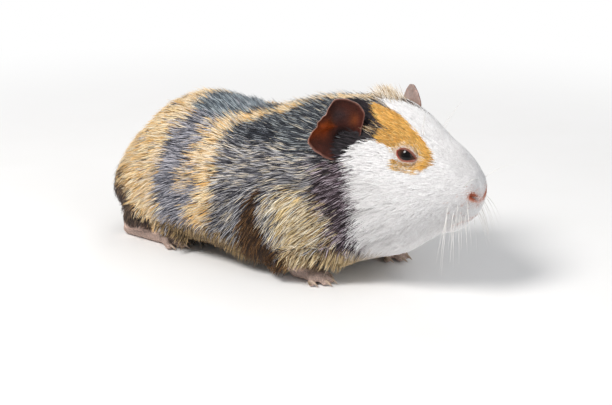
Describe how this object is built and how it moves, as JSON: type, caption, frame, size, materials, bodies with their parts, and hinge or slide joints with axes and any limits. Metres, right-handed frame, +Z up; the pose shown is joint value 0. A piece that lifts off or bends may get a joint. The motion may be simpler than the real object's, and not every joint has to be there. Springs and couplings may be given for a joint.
{
  "type": "guinea pig",
  "caption": "Life-size guinea pig standing still on its feet, with a medium-long patched coat, folded petal ears and a blunt white muzzle.",
  "frame": {"origin": "middle of the bounding box's lower face, on the floor", "axes": "+X from tail end to nose, +Y to the animal's left, +Z up from the floor"},
  "size_m": [0.2442, 0.0974, 0.1046],
  "materials": {
    "coat_white": "soft hair",
    "coat_dark": "soft hair",
    "coat_grey": "soft hair",
    "coat_tan": "soft hair",
    "foot_skin": "bare skin with short hair",
    "ear_skin": "thin bare skin",
    "eye": "wet gloss",
    "claw": "horn"
  },
  "bodies": {
    "root": {"ear_left": "ear_skin", "ear_right": "ear_skin", "eye_left": "eye", "eye_right": "eye", "forefoot_left": "foot_skin", "forefoot_left_claw_1": "claw", "forefoot_left_claw_2": "claw", "forefoot_left_claw_3": "claw", "forefoot_left_claw_4": "claw", "forefoot_right": "foot_skin", "forefoot_right_claw_1": "claw", "forefoot_right_claw_2": "claw", "forefoot_right_claw_3": "claw", "forefoot_right_claw_4": "claw", "foreleg_left": "coat_tan", "foreleg_right": "coat_tan", "head": "coat_white", "hindfoot_left": "foot_skin", "hindfoot_left_claw_1": "claw", "hindfoot_left_claw_2": "claw", "hindfoot_left_claw_3": "claw", "hindfoot_right": "foot_skin", "hindfoot_right_claw_1": "claw", "hindfoot_right_claw_2": "claw", "hindfoot_right_claw_3": "claw", "hindleg_left": "coat_tan", "hindleg_right": "coat_tan", "neck": "coat_dark", "trunk": "coat_grey"}
  },
  "joints": []
}
